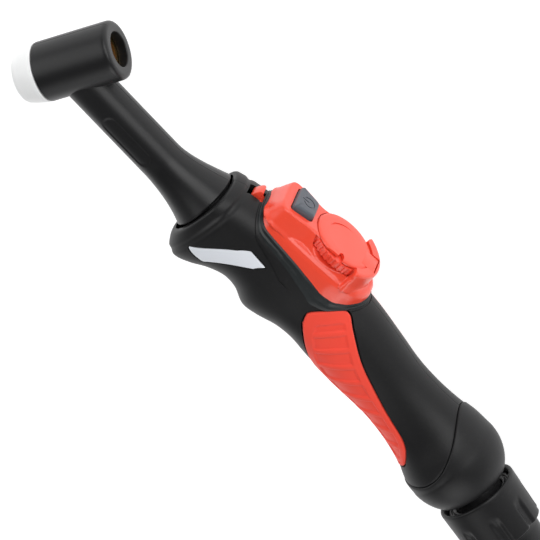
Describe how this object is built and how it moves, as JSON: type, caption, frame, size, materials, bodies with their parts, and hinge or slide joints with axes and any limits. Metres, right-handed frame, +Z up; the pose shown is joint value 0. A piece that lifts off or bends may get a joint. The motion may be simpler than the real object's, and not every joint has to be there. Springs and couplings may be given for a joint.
{
  "type": "tig torch",
  "caption": "Air cooled TIG welding torch handset with angled head, ergonomic handle, amperage wheel and button module, and a swivelling cable collar.",
  "frame": {"origin": "under the middle of the torch's box, on the surface that it lies on", "axes": "+X along the neck and handle towards the cable end, +Y towards the control module, +Z up out of the side that the torch doesn't lie on"},
  "size_m": [0.2772, 0.055, 0.0377],
  "materials": {
    "head_rubber": "smooth satin black silicone rubber",
    "gasket_white": "white fluoropolymer, waxy satin",
    "handle_black": "black moulded nylon with a fine matte grain",
    "collar_black": "black moulded nylon",
    "module_red": "orange red moulded plastic, satin",
    "grip_red": "orange red soft grip rubber, matte",
    "plate_white": "blank white printed plate with a dark keyline",
    "button_grey": "slate grey moulded plastic",
    "seal_grey": "dark grey sealing rubber",
    "swivel_dark": "dark acetal",
    "board_green": "green board laminate",
    "switch_black": "black switch body",
    "connector_white": "natural white connector plastic",
    "brass": "turned brass",
    "copper": "drawn copper tube",
    "steel": "zinc plated steel"
  },
  "bodies": {
    "handset": {"head_and_neck": "head_rubber", "cup_gasket": "gasket_white", "head_body": "brass", "neck_tube": "copper", "cable_stud": "brass", "handle_shell_right": "handle_black", "handle_shell_left": "handle_black", "rear_cover": "handle_black", "grip_insert_right": "grip_red", "grip_insert_left": "grip_red", "name_plate_right": "plate_white", "name_plate_left": "plate_white", "handle_screw_1": "steel", "handle_screw_2": "steel", "handle_screw_3": "steel", "module_housing": "module_red", "module_gasket": "seal_grey", "module_latch": "module_red", "wheel_cap": "module_red", "potentiometer": "steel", "tact_switch": "switch_black", "circuit_board": "board_green", "board_screw_1": "steel", "board_screw_2": "steel", "wire_connector": "connector_white"},
    "button": {"push_button": "button_grey"},
    "wheel": {"adjust_wheel": "module_red", "wheel_spindle": "steel"},
    "knuckle_seat": {"ball_seat_ring": "seal_grey"},
    "cable_knuckle": {"swivel_ball": "swivel_dark", "cable_collar": "collar_black", "collar_lock_ring": "swivel_dark"}
  },
  "joints": [
    {"name": "button_press", "type": "slide", "parent": "handset", "child": "button", "axis": [0.0958, -0.9954, 0], "range_m": [0, 0.0012], "stiffness_N_per_m": 500},
    {"name": "wheel_turn", "type": "hinge", "parent": "handset", "child": "wheel", "pos_m": [-0.01148, 0.02276, 0.01885], "axis": [-0.0958, 0.9954, 0], "range_deg": [-135, 135]},
    {"name": "knuckle_spin", "type": "hinge", "parent": "handset", "child": "knuckle_seat", "pos_m": [0.07872, -0.00479, 0.01885], "axis": [0.9877, -0.1564, 0], "continuous": true},
    {"name": "knuckle_tilt", "type": "hinge", "parent": "knuckle_seat", "child": "cable_knuckle", "pos_m": [0.07872, -0.00479, 0.01885], "axis": [0, 0, 1], "range_deg": [-12, 12]}
  ]
}
